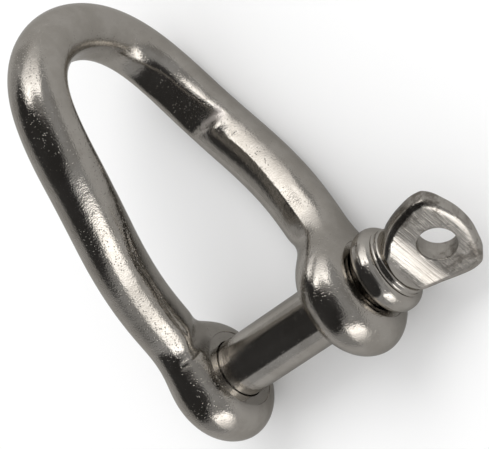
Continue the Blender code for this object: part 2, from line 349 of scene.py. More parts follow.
@dataclass(frozen=True)
class Mandrel:
    """The former that the crown was bent round, which flattened the inside of the bend.

    The taper draws its sides in below the bend's middle, and nothing is pushed inside its core,
    which is a share of its size.
    """

    depth: float = 0.34 * MM
    edge: float = 0.12 * MM
    edge_low: float = 0.26 * MM
    reach_down: float = 8.5 * MM
    run_out: float = 1.7 * MM
    taper: float = 2.3
    core: float = 0.5

    def press(self, points: np.ndarray, centre: float, reach: float, rise: float, turn: float) -> np.ndarray:
        """Push the inside of the crown out to the former.

        Args:
            points: Rows of x, y and z in the shackle's frame.
            centre: Distance from the pin to the middle of the bend.
            reach: Half the bend's inside width.
            rise: The bend's inside rise above its middle.
            turn: The crown's turn about the shackle's length, in radians.

        Returns:
            The moved points.
        """
        side = np.array([math.cos(turn), 0.0, -math.sin(turn)])
        across = points @ side
        up = points[:, 1] - centre
        bend = np.clip(up, 0, None)
        fade = eased((up + self.reach_down) / self.run_out)
        low = np.clip(-up / self.reach_down, 0, 1)
        wide = reach + self.depth * fade * (1 - self.taper * low)
        share = np.sqrt((across / wide) ** 2 + (bend / (rise + self.depth)) ** 2)
        soft = (self.edge + (self.edge_low - self.edge) * low) / reach
        push = soft * np.logaddexp(0, (1 - share) / soft) * fade
        factor = np.where(share > self.core, 1 + push / np.maximum(share, TINY), 1.0)
        moved = points + (across * (factor - 1))[:, None] * side
        moved[:, 1] += bend * (factor - 1)
        return moved


@dataclass(frozen=True)
class Fit:
    """Sizes that the bow and the pin share."""

    pin_diameter: float = 8.0 * MM
    jaw_width: float = 16.8 * MM
    eye_thickness: float = 7.3 * MM
    eye_diameter: float = 17.0 * MM
    pin_end_inset: float = 0.3 * MM
    collar_gap: float = 0.6 * MM
    thread_past_end: float = 1.0 * MM
    thread_past_jaw: float = 0.2 * MM

    @property
    def inner_face(self) -> float:
        """Distance of the jaw's faces from the middle."""
        return self.jaw_width / 2

    @property
    def outer_face(self) -> float:
        """Distance of the eyes' outer faces from the middle."""
        return self.inner_face + self.eye_thickness

    @property
    def thread(self) -> Thread:
        """The pin's thread, over the width of the eye."""
        return Thread(-self.outer_face - self.thread_past_end, -self.inner_face + self.thread_past_jaw)


# The matte scar at the end of the former's flat on the near leg, where the bar was gripped.
PINCH_SCAR = Mark(((3.4, 28.2, -8.7), (4.8, 28.3, -8.6), (5.9, 28.35, -8.7), (6.7, 28.5, -8.9), (7.4, 28.6, -9.3)),
                  1.05 * MM, 1.0, 0.4 * MM)

FORGING_MARKS = (
    # The parting crease down the inside of the far leg: a groove, and the raised lip beside it.
    Mark(((-1.6, 24.2, 11.2), (-1.9, 23.5, 11.25), (-2.7, 21.8, 11.2), (-3.4, 20.4, 11.0), (-4.25, 18.6, 10.55),
          (-4.8, 17.0, 9.6), (-6.0, 14.1, 8.4), (-7.2, 10.6, 7.1), (-8.0, 7.7, 5.8), (-8.5, 6.0, 4.9)),
         0.26 * MM, -0.08 * MM, 2.5 * MM),
    Mark(((-1.5, 23.6, 11.6), (-2.5, 21.6, 11.6), (-3.2, 20.1, 11.45), (-4.05, 18.3, 11.0), (-4.7, 16.6, 10.1),
          (-5.9, 13.7, 8.9), (-7.1, 10.3, 7.6), (-7.9, 7.4, 6.3)),
         0.30 * MM, 0.05 * MM, 3.0 * MM),
    # The pinch mark across the near leg: a groove, a ridge under it and small dents below that.
    Mark(((3.4, 28.0, -7.8), (4.7, 28.1, -7.6), (5.8, 28.2, -7.8), (6.6, 28.3, -8.25), (7.5, 28.5, -9.1)),
         0.35 * MM, -0.06 * MM, 0.8 * MM),
    Mark(((3.9, 26.9, -7.5), (5.3, 27.0, -7.5), (6.4, 27.0, -7.8), (7.2, 27.1, -8.3)),
         0.50 * MM, 0.08 * MM, 0.8 * MM),
    Mark(((6.1, 25.8, -7.0), (6.4, 25.5, -7.0)), 0.40 * MM, -0.10 * MM, 0.1 * MM),
    Mark(((6.8, 24.9, -6.8), (7.0, 24.6, -6.8)), 0.45 * MM, -0.10 * MM, 0.1 * MM),
    Mark(((8.0, 25.1, -7.4), (8.2, 24.8, -7.4)), 0.55 * MM, -0.09 * MM, 0.1 * MM),
    # The flash line that runs on down the near leg.
    Mark(((7.0, 26.6, -7.6), (7.2, 24.6, -6.8), (8.3, 22.3, -6.0), (9.5, 19.1, -4.6), (10.6, 15.5, -2.9),
          (11.6, 11.7, -1.2), (12.3, 9.6, 0.4)),
         0.32 * MM, 0.07 * MM, 3.0 * MM),
    # The creases where the legs grow out of the eyes.
    Mark(((-11.6, 4.9, 7.6), (-10.1, 4.8, 7.1), (-9.0, 4.8, 5.8), (-8.5, 5.0, 4.1)), 0.42 * MM, -0.16 * MM, 1.5 * MM),
    Mark(((13.8, 7.2, 3.6), (13.3, 6.3, 5.3), (12.7, 5.2, 6.6), (11.8, 3.9, 7.5)), 0.40 * MM, -0.10 * MM, 2.0 * MM),
    # A nick on the back of the crown.
    Mark(((0.0, 48.3, 10.3), (0.3, 47.0, 11.8), (0.3, 45.7, 12.9)), 0.35 * MM, -0.08 * MM, 1.0 * MM),
)


@dataclass(frozen=True)
class ForgedBow:
    """The bow: a bar bent and twisted into a U with an eye at each end.

    Each row of legs is a station of the bar: its share of the way to the middle of the crown's
    bend, its distance from the shackle's middle in millimetres, and its turn in degrees. The eye's
    section is in shares of half its thickness and of its radius.
    """

    fit: Fit = Fit()
    inside_length: float = 40.3 * MM
    bar_diameter: float = 7.74 * MM
    crown_bar_diameter: float = 7.6 * MM
    crown_spread: float = 26.5 * MM
    crown_rise: float = 12.2 * MM
    crown_twist: float = 86.5
    legs: tuple[Triple, ...] = (
        (0.245, 11.88, 20.2), (0.30, 11.83, 25.3), (0.42, 11.80, 35.6), (0.57, 11.87, 51.7),
        (0.72, 12.09, 65.3), (0.87, 12.59, 75.9), (1.00, 12.95, 82.5),
    )
    eye_section: tuple[Pair, ...] = ((1.05, 0.12), (1.05, 0.59), (0.735, 0.886), (0.0, 1.057))
    spot_face_diameter: float = 10.8 * MM
    spot_face_depth: float = 0.3 * MM
    clear_bore: float = 8.5 * MM
    threaded_bore: float = 8.06 * MM
    bar_sides: int = 8
    eye_segments: int = 12
    crown_steps: int = 3
    fineness: int = 4
    weld: float = 0.01 * MM
    bore_lead: float = 0.3 * MM
    spot_face_slope: float = 0.25 * MM
    tapped_lead: float = 0.12 * MM
    tool_past_eye: float = 6.0 * MM
    ring_spacing: float = 0.12 * MM
    thread_past_eye: float = 0.5 * MM
    thread_short_of_jaw: float = 0.4 * MM
    thread_depth: float = 0.4 * MM
    mandrel: Mandrel = Mandrel()
    scar: Mark = PINCH_SCAR
    marks: tuple[Mark, ...] = FORGING_MARKS

    @property
    def crown_centre(self) -> float:
        """Distance from the pin to the middle of the crown's bend."""
        apex = self.fit.pin_diameter / 2 + self.inside_length + self.crown_bar_diameter / 2
        return apex - self.crown_rise

    def route(self) -> list[tuple[Vector, float]]:
        """Give the stations of the bar from the tab side's eye to the crown's apex.

        Returns:
            The bar's centre and radius at each station.
        """
        stops = []
        for share, spread, twist in self.legs:
            angle = math.radians(twist)
            centre = Vector((spread * MM * math.cos(angle), share * self.crown_centre,
                             -spread * MM * math.sin(angle)))
            stops.append((centre, self.bar_diameter / 2))
        turn = math.radians(self.crown_twist)
        for step in range(1, self.crown_steps + 1):
            angle = math.pi / 2 * step / self.crown_steps
            reach = self.crown_spread / 2 * math.cos(angle)
            rise = self.crown_centre + self.crown_rise * math.sin(angle)
            centre = Vector((reach * math.cos(turn), rise, -reach * math.sin(turn)))
            stops.append((centre, self.crown_bar_diameter / 2))
        return stops

    def resting_pitch(self) -> float:
        """Work out how far the shackle tips about its pin until it lies on both eyes and the bow.

        Returns:
            The angle in radians.
        """
        eye = self.fit.eye_diameter / 2
        pitches = []
        for centre, radius in self.route():
            distance = math.hypot(centre.y, centre.z)
            pitches.append(math.atan2(-centre.z, centre.y) - math.asin((eye - radius) / distance))
        return max(pitches)

    @staticmethod
    def half_turned(point: Vector) -> Vector:
        """Give the matching point of the other leg."""
        return Vector((-point.x, point.y, -point.z))

    def ring_centres(self, eye_point: Vector) -> list[Vector]:
        """Give the cage's ring centres, so that the smoothed bar runs through its route.

        Args:
            eye_point: The point in the eye that the bar starts from.

        Returns:
            One centre for each stop of the route.
        """
        stops = [centre for centre, _ in self.route()]
        chain = [eye_point] + stops + [self.half_turned(stops[-2])]
        return [here - (before - 2 * here + after) / 6 for before, here, after in zip(chain, chain[1:], chain[2:])]

    def ring_frames(self, centres: list[Vector]) -> list[tuple[Vector, Vector]]:
        """Carry a side direction along the bar without twisting it.

        Args:
            centres: The rings' centres.

        Returns:
            For each ring its direction along the bar and its side direction.
        """
        chain = centres + [self.half_turned(centres[-2])]
        ways = [(after - here).normalized() for here, after in zip(chain, chain[1:])]
        ways = [ways[0]] + [(a + b).normalized() for a, b in zip(ways, ways[1:])]
        side = Vector((1, 0, 0))
        frames = []
        for number, way in enumerate(ways):
            if number:
                side = ways[number - 1].rotation_difference(way) @ side
            side = (side - side.dot(way) * way).normalized()
            frames.append((way, side.copy()))
        way, side = frames[-1]
        up = Vector((0, 1, 0))
        step = math.tau / self.bar_sides
        error = math.atan2(way.dot(side.cross(up)), side.dot(up)) % step
        error = error if error < step / 2 else error - step
        last = len(frames) - 1
        return [(way, Matrix.Rotation(error * number / last, 3, way) @ side)
                for number, (way, side) in enumerate(frames)]

    @staticmethod
    def shrink(sides: int) -> float:
        """How far a smoothed polygon lies inside its corners."""
        return (2 + math.cos(math.tau / sides)) / 3

    def eye_cage(self, bm: BMesh, towards_leg: Vector) -> list[bmesh.types.BMEdge]:
        """Add the coarse ring of the tab side's eye.

        Args:
            bm: The cage.
            towards_leg: The direction from the pin to the leg.

        Returns:
            The edges that the leg grows from.
        """
        half = self.fit.eye_thickness / 2 + self.spot_face_depth
        rim = self.fit.eye_diameter / 2 / self.shrink(self.eye_segments)
        outline = [(-x, r) for x, r in self.eye_section] + [(x, r) for x, r in self.eye_section[-2::-1]]
        along = Vector((1, 0, 0))
        centre = along * (self.fit.inner_face + self.fit.eye_thickness / 2)
        verts = [bm.verts.new(centre + along * x * half + towards_leg * r * rim) for x, r in outline]
        edges = [bm.edges.new(pair) for pair in zip(verts, verts[1:] + verts[:1])]
        bmesh.ops.spin(bm, geom=verts + edges, cent=centre, axis=along, angle=math.tau,
                       steps=self.eye_segments, use_merge=True, use_duplicate=False)
        top = max(bm.verts, key=lambda vert: (vert.co - centre).dot(towards_leg))
        bmesh.ops.delete(bm, geom=[top], context="VERTS")
        return [edge for edge in bm.edges if edge.is_boundary]

    def cage(self) -> BMesh:
        """Build the coarse cage: one eye and leg, repeated by half a turn.

        Returns:
            The closed cage.
        """
        bm = bmesh.new()
        route = self.route()
        towards_leg = Vector((0, route[0][0].y, route[0][0].z)).normalized()
        middle = self.fit.inner_face + self.fit.eye_thickness / 2
        open_edges = self.eye_cage(bm, towards_leg)
        rings = self.ring_centres(Vector((middle, 0, 0)) + towards_leg * self.fit.eye_diameter / 4)
        for centre, (way, side), (_, radius) in zip(rings, self.ring_frames(rings), route):
            matrix = Matrix((side, way.cross(side), way)).transposed().to_4x4()
            matrix.translation = centre
            made = bmesh.ops.create_circle(bm, segments=self.bar_sides, radius=radius / self.shrink(self.bar_sides),
                                           matrix=matrix)
            edges = list({edge for vert in made["verts"] for edge in vert.link_edges})
            bmesh.ops.bridge_loops(bm, edges=open_edges + edges)
            open_edges = edges
        other = bmesh.ops.duplicate(bm, geom=bm.verts[:] + bm.edges[:] + bm.faces[:])
        verts = [item for item in other["geom"] if isinstance(item, bmesh.types.BMVert)]
        bmesh.ops.rotate(bm, verts=verts, cent=(0, 0, 0), matrix=Matrix.Rotation(math.pi, 3, "Y"))
        bmesh.ops.remove_doubles(bm, verts=bm.verts[:], dist=self.weld)
        bmesh.ops.recalc_face_normals(bm, faces=bm.faces[:])
        return bm

    def bore_tool(self) -> Mesh:
        """Build the turned tool that cuts the spot faces, the clear bore and the threaded bore.

        Returns:
            The tool, about the pin's axis.
        """
        inner, outer = self.fit.inner_face, self.fit.outer_face
        spot, clear, tapped = self.spot_face_diameter / 2, self.clear_bore / 2, self.threaded_bore / 2
        beyond, lead, slope = outer + self.tool_past_eye, self.bore_lead, self.spot_face_slope
        profile = [
            (-beyond, 0), (-beyond, spot + slope), (-outer - 2 * slope, spot + slope), (-outer, spot),
            (-outer, tapped + lead), (-outer + lead, tapped), (-inner - lead, tapped),
            (-inner, tapped + self.tapped_lead), (-inner, spot),
            (-inner + 2 * slope, spot + slope), (inner - 2 * slope, spot + slope), (inner, spot),
            (inner, clear + lead), (inner + lead, clear), (outer - lead, clear), (outer, clear + lead),
            (outer, spot), (outer + 2 * slope, spot + slope), (beyond, spot + slope), (beyond, 0),
        ]
        mesh = lathe(profile, "bore_tool", TOOL_STEPS, self.ring_spacing)
        thread = Thread(-outer - self.thread_past_eye, -inner - self.thread_short_of_jaw, depth=self.thread_depth)
        thread.cut(mesh, tapped, outwards=True)
        return mesh

    def build(self) -> Mesh:
        """Build the bow's fine mesh in the shackle's own frame.

        Returns:
            The mesh, with the scar's strength at each point.
        """
        work = new_object("bow_cage", mesh_of(self.cage(), "bow_cage"))
        smooth = work.modifiers.new("forged surface", "SUBSURF")
        smooth.levels = self.fineness
        smooth.render_levels = self.fineness
        mesh = settle(work)
        points, normals = rows_of(mesh, Row.PLACE), rows_of(mesh, Row.NORMAL)
        bar = self.crown_bar_diameter / 2
        moved = self.mandrel.press(points, self.crown_centre, self.crown_spread / 2 - bar,
                                   self.crown_rise - bar, math.radians(self.crown_twist))
        for mark in self.marks:
            moved += normals * mark.press(points)[:, None]
        put_points(mesh, moved)
        mesh = combine(mesh, "forged_bow", [(Cut.TAKE_AWAY, self.bore_tool())])
        shade(mesh)
        scar = mesh.attributes.new(SCAR_NAME, "FLOAT", "POINT")
        scar.data.foreach_set("value", self.scar.press(rows_of(mesh, Row.PLACE)).astype(np.float32))
        return mesh


@dataclass(frozen=True)
class ScrewPin:
    """The pin: a threaded shank, a collar, a neck and a flat tab with a hole.

    The rows of the tab's fan are shares of its length and of half its width, and so are those of its
    bowed end, counted from its corner. The hole's ease is the rounding of its rims, which sweeps
    through so many degrees and lies inside the tab by its share.
    """

    fit: Fit = Fit()
    chamfer: float = 0.7 * MM
    collar_thickness: float = 3.4 * MM
    collar_diameter: float = 11.4 * MM
    collar_rounding: float = 1.55 * MM
    seat_relief: float = 0.2 * MM
    neck_diameter: float = 9.0 * MM
    neck_step: float = 0.25 * MM
    neck_height: float = 0.85 * MM
    tab_length: float = 11.1 * MM
    tab_width: float = 12.4 * MM
    tab_root_width: float = 5.2 * MM
    tab_root_depth: float = 0.85 * MM
    tab_root_diameter: float = 8.0 * MM
    tab_root_flare: float = 0.85
    tab_hollow_length: float = 3.8 * MM
    tab_fan: tuple[Pair, ...] = ((0.06, 0.55), (0.24, 0.78), (0.48, 0.95))
    tab_end_bow: Pair = (0.28, 0.55)
    tab_corner_setback: float = 2.2 * MM
    tab_corner_rounding: float = 0.35 * MM
    tab_slant: float = 0.6 * MM
    tab_root_thickness: float = 3.8 * MM
    tab_end_thickness: float = 2.5 * MM
    tab_edge_rounding: float = 0.95 * MM
    hole_diameter: float = 5.0 * MM
    hole_ease: float = 0.3 * MM
    hole_ease_sweep: float = 70.0
    hole_ease_share: float = 0.4
    hole_tool_flare: float = 3.0
    hole_tool_past: float = 1.5 * MM
    tab_end_wall: float = 1.9 * MM
    tab_turn: float = 28.6
    round_steps: int = 128
    ring_spacing: float = 0.11 * MM
    bend_steps: int = 6
    curve_steps: int = 10
    edge_steps: int = 5
    hollow_steps: int = 24
    weld: float = 0.005 * MM

    @property
    def collar_seat(self) -> float:
        """Place of the collar's face towards the eye."""
        return self.fit.outer_face + self.fit.collar_gap

    @property
    def collar_face(self) -> float:
        """Place of the collar's face towards the tab."""
        return self.collar_seat + self.collar_thickness

    @property
    def neck_face(self) -> float:
        """Place of the neck's end face, which the tab grows from."""
        return self.collar_face + self.neck_height

    @property
    def tab_lie(self) -> Matrix:
        """The tab's turn about the pin."""
        return Matrix.Rotation(math.radians(self.tab_turn), 4, "X")

    @property
    def hole_place(self) -> float:
        """Place of the tab's hole along the pin."""
        return self.collar_face + self.tab_length - self.tab_end_wall - self.hole_diameter / 2

    def turned_profile(self) -> list[Pair]:
        """Give the half section of the turned pin, from the neck's face to the threaded end.

        Returns:
            Points as (place along X, radius).
        """
        neck, collar, ease = self.neck_diameter / 2, self.collar_diameter / 2, self.neck_step
        radius, bend = self.fit.pin_diameter / 2, self.collar_rounding
        end = -self.fit.outer_face + self.fit.pin_end_inset
        profile = [(self.neck_face, 0.0)]
        profile += arc(self.neck_face - ease, neck - ease, ease, 0, 90, self.bend_steps)
        profile += arc(self.collar_face + ease, neck + ease, ease, 270, 180, self.bend_steps)
        profile += arc(self.collar_face - bend, collar - bend, bend, 0, 90)
        profile += arc(self.collar_seat + bend, collar - bend, bend, 90, 180)
        profile += [(self.collar_seat, radius + self.seat_relief), (self.collar_seat - self.seat_relief, radius)]
        profile += [(end + self.chamfer, radius), (end, radius - self.chamfer), (end, 0.0)]
        return profile

    def turned(self) -> Mesh:
        """Build the turned part of the pin with its thread.

        Returns:
            The mesh, about the pin's axis.
        """
        mesh = lathe(self.turned_profile(), "turned", self.round_steps, self.ring_spacing)
        self.fit.thread.cut(mesh, self.fit.pin_diameter / 2, outwards=False)
        return mesh

    def outline(self) -> list[Pair]:
        """Give the points round the tab in its own plane.

        Returns:
            Points as (place along the pin, distance from its axis).
        """
        root = self.collar_face - self.tab_root_depth
        end = self.collar_face + self.tab_length
        corner = end - self.tab_corner_setback
        half = self.tab_width / 2
        fall, spread = self.tab_end_bow
        side = (
            (root, self.tab_root_width / 2),
            *((self.collar_face + along * self.tab_length, across * half) for along, across in self.tab_fan),
            (corner - self.tab_corner_rounding, half),
            (corner + self.tab_corner_rounding, half - self.tab_corner_rounding),
            (end - fall * self.tab_corner_setback, spread * half),
        )
        points = [*side, (end, 0.0)] + [(x, -y) for x, y in reversed(side)]
        return [(x + self.tab_slant * y / half * (x - root) / (end - root), y) for x, y in points]

    def tab(self) -> Mesh:
        """Build the tab as a rounded plate that thins towards its end.

        Returns:
            The tab, turned to its place on the pin.
        """
        curve = bpy.data.curves.new("tab", "CURVE")
        curve.dimensions = "2D"
        curve.fill_mode = "BOTH"
        curve.resolution_u = self.curve_steps
        curve.extrude = self.tab_root_thickness / 2 - self.tab_edge_rounding
        curve.bevel_depth = self.tab_edge_rounding
        curve.bevel_resolution = self.edge_steps
        curve.offset = -self.tab_edge_rounding
        points = self.outline()
        spline = curve.splines.new("BEZIER")
        spline.use_cyclic_u = True
        spline.bezier_points.add(len(points) - 1)
        for knot, (x, y) in zip(spline.bezier_points, points):
            knot.co = (x, y, 0)
            knot.handle_left_type = knot.handle_right_type = "AUTO"
        bm = bmesh.new()
        bm.from_mesh(settle(new_object("tab", curve)))
        bmesh.ops.remove_doubles(bm, verts=bm.verts[:], dist=self.weld)
        for step in range(self.hollow_steps + 1):
            place = (self.neck_face + self.tab_hollow_length * step / self.hollow_steps, 0, 0)
            bmesh.ops.bisect_plane(bm, geom=bm.verts[:] + bm.edges[:] + bm.faces[:], plane_co=place,
                                   plane_no=(1, 0, 0))
        for vert in bm.verts:
            vert.co.z *= 2 * self.half_thickness(vert.co.x) / self.tab_root_thickness
        bmesh.ops.recalc_face_normals(bm, faces=bm.faces[:])
        mesh = mesh_of(bm, "tab")
        mesh.transform(self.tab_lie)
        return combine(mesh, "tab", [(Cut.KEEP_INSIDE, self.root_round())])

    def root_round(self) -> Mesh:
        """Build the widening round that the tab's root is kept to.

        Returns:
            The round, about the pin's axis.
        """
        ends = (self.collar_face - self.collar_thickness / 2, self.collar_face + self.tab_length + self.tab_slant)
        profile = [(x, self.tab_root_diameter / 2 + self.tab_root_flare * (x - self.neck_face)) for x in ends]
        return lathe([(ends[0], 0.0), *profile, (ends[1], 0.0)], "root_round", self.round_steps)

    def half_thickness(self, place: float) -> float:
        """Give half the tab's thickness: a hollow that runs out to the neck, then a thinning flat.

        Args:
            place: The place along the pin.

        Returns:
            Half the thickness there.
        """
        way = min(max((place - self.collar_face) / self.tab_length, 0), 1)
        flat = (self.tab_root_thickness + (self.tab_end_thickness - self.tab_root_thickness) * way) / 2
        rise = (self.tab_root_diameter - self.tab_root_thickness) / 2
        hollow = (self.tab_hollow_length ** 2 + rise ** 2) / (2 * rise)
        left = min(max(self.neck_face + self.tab_hollow_length - place, 0), self.tab_hollow_length)
        return flat + hollow - math.sqrt(hollow ** 2 - left ** 2)

    def hole_tool(self) -> Mesh:
        """Build the tool that cuts the tab's hole with softly broken rims.

        Returns:
            The tool, turned to its place on the pin.
        """
        radius, ease, sweep = self.hole_diameter / 2, self.hole_ease, self.hole_ease_sweep
        half = self.half_thickness(self.hole_place)
        top, wide, sunk = half + self.hole_tool_past, radius + ease * self.hole_tool_flare, ease * self.hole_ease_share
        low_rim = arc(0, radius + ease, ease, 270 - sweep, 270, self.bend_steps)
        high_rim = arc(0, radius + ease, ease, 270, 270 + sweep, self.bend_steps)
        profile = [(-top, 0), (-top, wide)]
        profile += [(x - half + sunk, r) for x, r in low_rim] + [(x + half - sunk, r) for x, r in high_rim]
        profile += [(top, wide), (top, 0)]
        mesh = lathe(profile, "hole_tool", TOOL_STEPS)
        place = Matrix.Translation((self.hole_place, 0, 0)) @ Matrix.Rotation(math.pi / 2, 4, "Y")
        mesh.transform(self.tab_lie @ place)
        return mesh

    def build(self) -> Mesh:
        """Build the pin's fine mesh in the shackle's own frame.

        Returns:
            The mesh.
        """
        steps = [(Cut.ADD, self.tab()), (Cut.TAKE_AWAY, self.hole_tool())]
        mesh = combine(self.turned(), "screw_pin_fine", steps)
        shade(mesh)
        return mesh


@dataclass(frozen=True)
class Lie:
    """Where the shackle lies: the way from its own frame to the world."""

    matrix: Matrix

    @classmethod
    def of_packed(cls, bow: ForgedBow) -> "Lie":
        """Read the pin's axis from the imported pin's end face.

        Args:
            bow: The bow, whose form gives the resting angle.

        Returns:
            The shackle's place.
        """
        corners = [vert.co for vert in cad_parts["screw_pin"].data.vertices]
        low = min(co.x for co in corners)
        face = [co for co in corners if co.x < low + END_FACE_SLACK]
        middle_y = (min(co.y for co in face) + max(co.y for co in face)) / 2
        middle_z = (min(co.z for co in face) + max(co.z for co in face)) / 2
        middle_x = low + bow.fit.outer_face - bow.fit.pin_end_inset
        place = Matrix.Translation((middle_x, middle_y, middle_z))
        return cls(place @ Matrix.Rotation(bow.resting_pitch(), 4, "X"))


def feed(node: bpy.types.Node, inputs: dict[str | int, Value]) -> None:
    """Link or set inputs of a node.

    Args:
        node: The node.
        inputs: For each input the socket that feeds it, or its value.
    """
    for name, value in inputs.items():
        if isinstance(value, Socket):
            node.id_data.links.new(value, node.inputs[name])
        else:
            node.inputs[name].default_value = value


def add_node(tree: NodeTree, kind: str, inputs: dict[str | int, Value], **settings: object) -> bpy.types.Node:
    """Add a shader node to a tree.

    Args:
        tree: The node tree.
        kind: The node's type, without the words that every type starts with.
        inputs: For each input the socket that feeds it, or its value.
        settings: The node's own settings.

    Returns:
        The new node.
    """
    node = tree.nodes.new(f"ShaderNode{kind}")
    for name, setting in settings.items():
        setattr(node, name, setting)
    feed(node, inputs)
    return node


def math_node(tree: NodeTree, kind: str, *values: Socket | float) -> Socket:
    """Add a math node and give its output."""
    return add_node(tree, "Math", dict(enumerate(values)), operation=kind).outputs[0]


def label(field: str) -> str:
    """Turn a field's name into the label of its socket."""
    return field.replace("_", " ").capitalize()


@dataclass(frozen=True)
class Pattern:
    """A noise: its octaves, the strength of the fine ones, its range as a mask, and its count in a metre."""

    octaves: float
    fineness: float = 0.5
    low: float = 0.0
    high: float = 1.0
    count: float = 1.0


class Grain:
    """The shared surface detail of polished steel, as one node group.

    Its shades and amounts are fields of the finishes. The lay is the direction of the ground lines,
    which lie close together along the pin and run far across it.
    """

    NAME = "polished steel grain"
    SHADES = ("light", "dark", "stained")
    AMOUNTS = ("stain", "ground_lines", "roughness", "grit", "grit_size", "peel_size", "peel_depth", "wave_size",
               "wave_depth", "lay_depth", "pit_depth", "ground_from", "ground_roughness")
    PEEL = Pattern(2.0, 0.6)
    WAVE = Pattern(2.0, 0.4)
    GRIT = Pattern(1.0, 0.5, 0.47, 0.66)
    LINES = Pattern(3.0, 0.7, 0.50, 0.72)
    PATCHES = Pattern(5.0, 0.65, 0.38, 0.62, 210.0)
    STAINS = Pattern(6.0, 0.75, 0.47, 0.62, 330.0)
    PIT_FIELDS = Pattern(3.0, 0.6, 0.38, 0.56, 160.0)
    SCAR_SPECKLE = Pattern(2.0, 0.5, 0.22, 0.40, 2600.0)
    SCAR_SHADE = (0.80, 0.75, 0.72)
    SCAR_ROUGHNESS = 0.42
    PIT_COUNT = 2600.0
    PIT_RIM = (0.06, 0.30)
    LAY_COUNTS = (4200.0, 130.0, 130.0)
    STAIN_RISE = (2.6 * MM, 4.8 * MM)
    GROUND_RISE = (0.0, 0.3 * MM)

    def __init__(self, lay_turn: float) -> None:
        """Build the group once.

        Args:
            lay_turn: Turn of the ground lines about the pin, in radians.
        """
        self.tree = bpy.data.node_groups.new(self.NAME, "ShaderNodeTree")
        for in_out, kind, fields in (
            ("INPUT", "NodeSocketColor", self.SHADES), ("INPUT", "NodeSocketFloat", (*self.AMOUNTS, SCAR_NAME)),
            ("OUTPUT", "NodeSocketColor", ("color",)), ("OUTPUT", "NodeSocketFloat", ("roughness", "height")),
        ):
            for field in fields:
                self.tree.interface.new_socket(name=label(field), in_out=in_out, socket_type=kind)
        self.given = self.tree.nodes.new("NodeGroupInput").outputs
        self.place = add_node(self.tree, "TexCoord", {}).outputs["Object"]
        stretch = {"Rotation": (lay_turn, 0, 0), "Scale": tuple(1 / count for count in self.LAY_COUNTS)}
        self.lay = add_node(self.tree, "Mapping", {"Vector": self.place, **stretch},
                            vector_type="TEXTURE").outputs["Vector"]
        along = add_node(self.tree, "SeparateXYZ", {"Vector": self.place}).outputs["X"]
        self.past = self._math("SUBTRACT", along, self.given["Ground from"])
        colour, roughness = self._colour_and_roughness()
        feed(self.tree.nodes.new("NodeGroupOutput"), {
            "Color": colour, "Roughness": roughness, "Height": self._height(),
        })

    def _math(self, kind: str, *values: Socket | float) -> Socket:
        """Add a math node to the group."""
        return math_node(self.tree, kind, *values)

    def _noise(self, pattern: Pattern, count: Socket | None = None, place: Socket | None = None) -> Socket:
        """Add a noise.

        Args:
            pattern: The noise.
            count: What gives its count in a metre, or None for the pattern's own.
            place: Its coordinates, or None for the object's own.

        Returns:
            The noise's value.
        """
        return add_node(self.tree, "TexNoise", {
            "Vector": place or self.place, "Scale": count or pattern.count,
            "Detail": pattern.octaves, "Roughness": pattern.fineness,
        }).outputs["Fac"]

    def _ramp(self, value: Socket, low: float, high: float) -> Socket:
        """Stretch a value softly from 0 at low to 1 at high."""
        inputs = {"Value": value, "From Min": low, "From Max": high}
        return add_node(self.tree, "MapRange", inputs, interpolation_type="SMOOTHSTEP").outputs["Result"]

    def _mask(self, pattern: Pattern, count: Socket | None = None, place: Socket | None = None) -> Socket:
        """Turn a noise into a mask over the pattern's own range."""
        return self._ramp(self._noise(pattern, count, place), pattern.low, pattern.high)

    def _mix(self, share: Socket, first: Value, second: Value) -> Socket:
        """Mix a share of the second colour into the first."""
        inputs = {"Factor": share, "A": first, "B": second}
        return add_node(self.tree, "Mix", inputs, data_type="RGBA").outputs["Result"]

    def _height(self) -> Socket:
        """Sum the peel, the slow waves, the ground lines and the pits.

        Returns:
            One height in metres.
        """
        given = self.given
        peel = self._math("MULTIPLY", self._noise(self.PEEL, given["Peel size"]), given["Peel depth"])
        wave = self._math("MULTIPLY", self._noise(self.WAVE, given["Wave size"]), given["Wave depth"])
        lines = self._math("MULTIPLY", self._noise(self.LINES, place=self.lay), given["Lay depth"])
        spots = add_node(self.tree, "TexVoronoi", {"Vector": self.place, "Scale": self.PIT_COUNT})
        hollow = self._math("SUBTRACT", self._ramp(spots.outputs["Distance"], *self.PIT_RIM), 1.0)
        hollow = self._math("MULTIPLY", hollow, self._mask(self.PIT_FIELDS))
        pits = self._math("MULTIPLY", hollow, given["Pit depth"])
        return self._math("ADD", self._math("ADD", peel, wave), self._math("ADD", lines, pits))

    def _colour_and_roughness(self) -> tuple[Socket, Socket]:
        """Vary the colour in patches, stains, lines and the scar, and speckle the gloss with grit.

        Returns:
            The colour and the roughness.
        """
        given = self.given
        ground = self._ramp(self.past, *self.GROUND_RISE)
        stain = self._math("MULTIPLY", self._mask(self.STAINS), self._ramp(self.past, *self.STAIN_RISE))
        stain = self._math("MULTIPLY", stain, given["Stain"])
        lines = self._math("MULTIPLY", self._mask(self.LINES, place=self.lay), ground)
        lines = self._math("MULTIPLY", lines, given["Ground lines"])
        scar = self._math("MULTIPLY", given["Scar"], self._mask(self.SCAR_SPECKLE))
        colour = self._mix(self._mask(self.PATCHES), given["Dark"], given["Light"])
        colour = self._mix(self._math("MAXIMUM", stain, lines), colour, given["Stained"])
        colour = self._mix(scar, colour, (*self.SCAR_SHADE, 1))
        rough = given["Roughness"]
        for mask, amount in ((self._mask(self.GRIT, given["Grit size"]), given["Grit"]), (scar, self.SCAR_ROUGHNESS),
                             (ground, given["Ground roughness"])):
            rough = self._math("ADD", rough, self._math("MULTIPLY", mask, amount))
        return colour, rough


